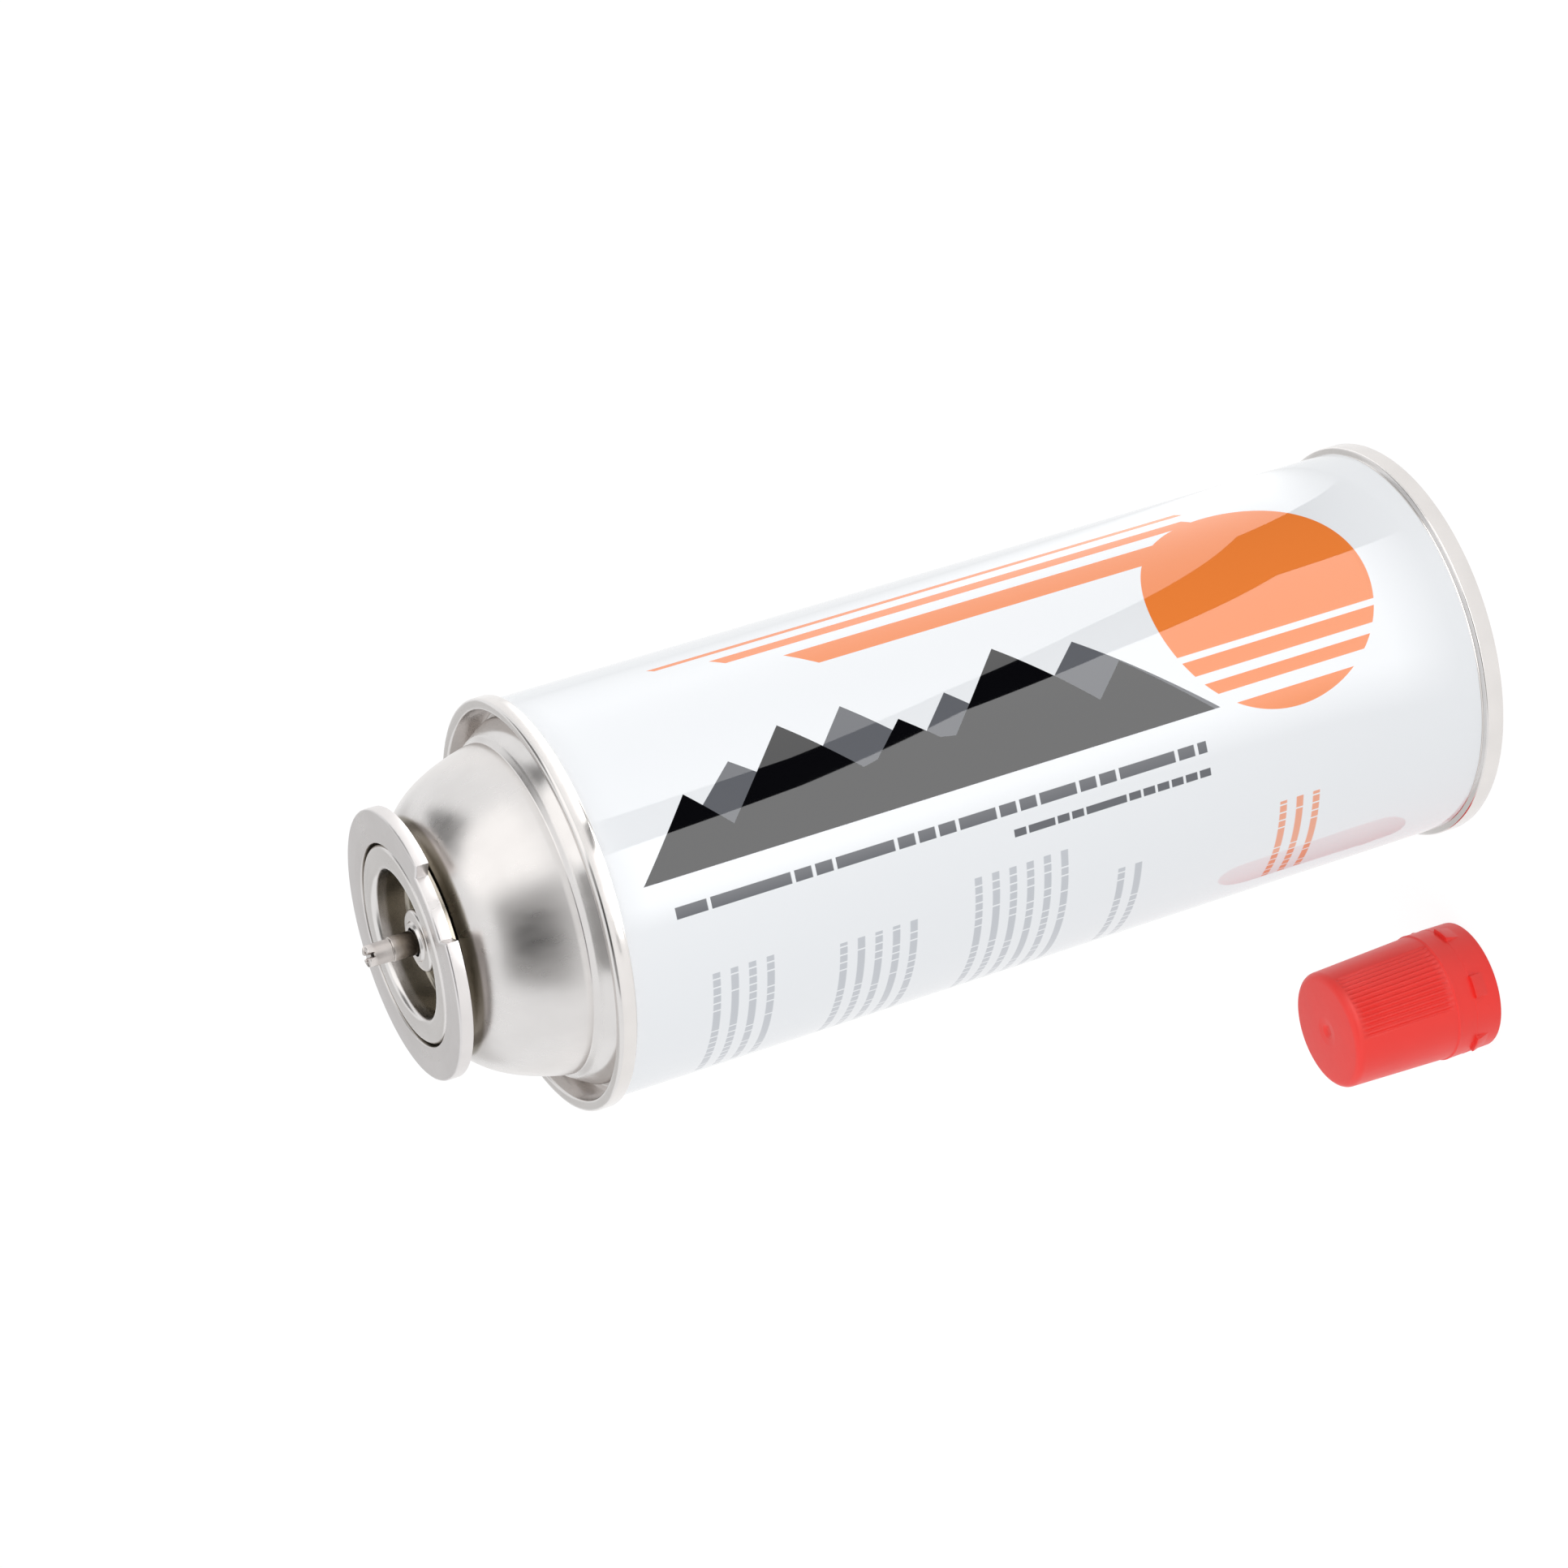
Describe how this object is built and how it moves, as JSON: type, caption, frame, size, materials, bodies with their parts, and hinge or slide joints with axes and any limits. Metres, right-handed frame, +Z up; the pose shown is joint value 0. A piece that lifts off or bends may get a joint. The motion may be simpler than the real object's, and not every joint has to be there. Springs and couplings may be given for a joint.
{
  "type": "fuel canister",
  "caption": "Nozzle-type gas canister: a seamed steel can with a domed shoulder, notched collar and sprung valve stem, with its cap taken off beside it.",
  "frame": {"origin": "middle of the footprint of canister and cap, on the surface that they stand on", "axes": "+Z up along the canister's axis, from the base seam to the valve stem; +X from the cap to the canister; the collar's notch faces -Y, 12.5 degrees towards +X"},
  "size_m": [0.1058, 0.068, 0.1885],
  "materials": {
    "printed_can": "gloss",
    "tinplate": "satin",
    "stem_metal": "satin",
    "spring_steel": "satin",
    "seal": "matte",
    "housing_plastic": "matte",
    "cap_plastic": "satin"
  },
  "bodies": {
    "canister": {"can": "printed_can", "cup_gasket": "seal", "valve_cup": "tinplate", "valve_collar": "tinplate", "stem_gasket": "seal", "valve_housing": "housing_plastic", "valve_spring": "spring_steel", "cap": "cap_plastic"},
    "stem": {"valve_stem": "stem_metal"}
  },
  "joints": [
    {"name": "stem_press", "type": "slide", "parent": "canister", "child": "stem", "axis": [0, 0, -1], "range_m": [0, 0.0018], "stiffness_N_per_m": 1500, "springref_m": -0.002, "deforming": ["valve_spring"]}
  ]
}
